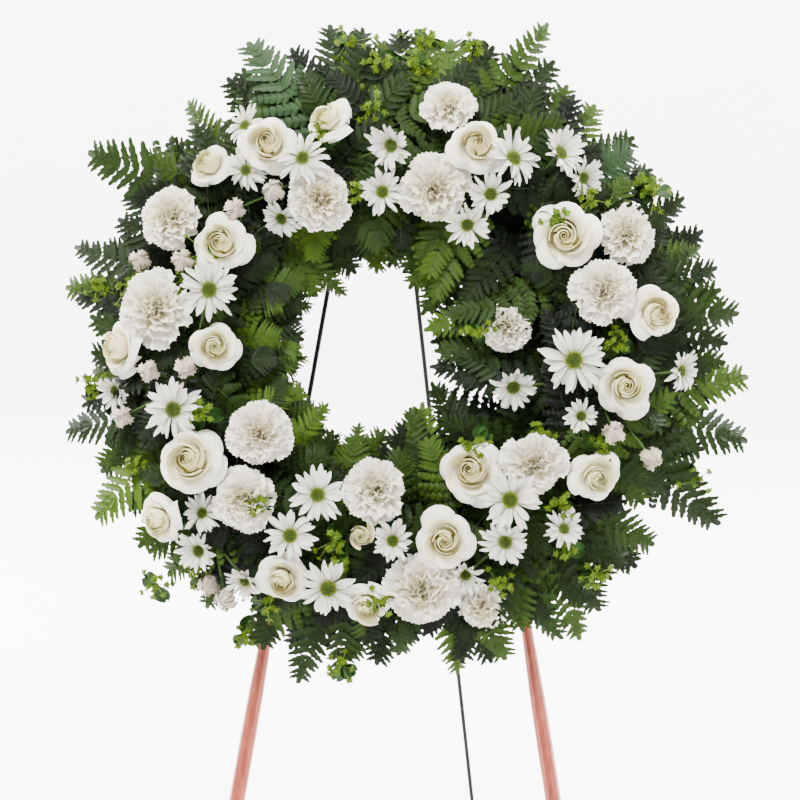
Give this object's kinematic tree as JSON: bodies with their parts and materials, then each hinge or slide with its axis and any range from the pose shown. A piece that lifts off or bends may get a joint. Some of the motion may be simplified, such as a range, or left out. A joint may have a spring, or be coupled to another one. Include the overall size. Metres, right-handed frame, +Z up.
{
  "type": "funeral wreath on easel",
  "caption": "Round funeral wreath of white roses, carnations, daisy mums and fern in a foam ring, hung on a leaning folding tripod easel.",
  "frame": {"origin": "middle of the whole object's bounding box, at the floor", "axes": "+X right, -Y towards the front, +Z up"},
  "size_m": [0.6908, 0.7508, 1.3224],
  "materials": {
    "rose_petal": "soft satin petal, cream white",
    "carnation_petal": "soft matt petal, ivory white",
    "daisy_petal": "soft matt petal, white, with green eyes",
    "fern_green": "satin leaf, dark green",
    "floral_foam": "wet matt foam, dark green",
    "tray_plastic": "moulded, dark green",
    "rose_stain": "rose-stained, satin lacquer",
    "dark_steel": "satin, nearly black"
  },
  "bodies": {
    "wreath_and_front_frame": {"carnation_01": "carnation_petal", "carnation_02": "carnation_petal", "carnation_03": "carnation_petal", "carnation_04": "carnation_petal", "carnation_05": "carnation_petal", "carnation_06": "carnation_petal", "carnation_07": "carnation_petal", "carnation_08": "carnation_petal", "carnation_09": "carnation_petal", "carnation_10": "carnation_petal", "carnation_11": "carnation_petal", "carnation_12": "carnation_petal", "carnation_13": "carnation_petal", "carnation_14": "carnation_petal", "daisy_spray_01": "daisy_petal", "daisy_spray_02": "daisy_petal", "daisy_spray_03": "daisy_petal", "daisy_spray_04": "daisy_petal", "daisy_spray_05": "daisy_petal", "daisy_spray_06": "daisy_petal", "daisy_spray_07": "daisy_petal", "foam_ring": "floral_foam", "front_leg_left": "rose_stain", "front_leg_right": "rose_stain", "front_rod_left": "dark_steel", "front_rod_right": "dark_steel", "greenery_01": "fern_green", "greenery_02": "fern_green", "greenery_03": "fern_green", "greenery_04": "fern_green", "greenery_05": "fern_green", "greenery_06": "fern_green", "greenery_07": "fern_green", "greenery_08": "fern_green", "greenery_09": "fern_green", "greenery_10": "fern_green", "greenery_11": "fern_green", "greenery_12": "fern_green", "head_plate": "dark_steel", "hinge_pin": "dark_steel", "rose_01": "rose_petal", "rose_02": "rose_petal", "rose_03": "rose_petal", "rose_04": "rose_petal", "rose_05": "rose_petal", "rose_06": "rose_petal", "rose_07": "rose_petal", "rose_08": "rose_petal", "rose_09": "rose_petal", "rose_10": "rose_petal", "rose_11": "rose_petal", "rose_12": "rose_petal", "rose_13": "rose_petal", "rose_14": "rose_petal", "rose_15": "rose_petal", "rose_16": "rose_petal", "rose_17": "rose_petal", "rose_18": "rose_petal", "tray": "tray_plastic"},
    "rear_leg": {"rear_leg": "dark_steel"}
  },
  "joints": [
    {"name": "rear_leg_hinge", "type": "hinge", "parent": "wreath_and_front_frame", "child": "rear_leg", "pos_m": [-0.01835, -0.12691, 1.2665], "axis": [-1, 0, 0], "range_deg": [0, 28]}
  ]
}
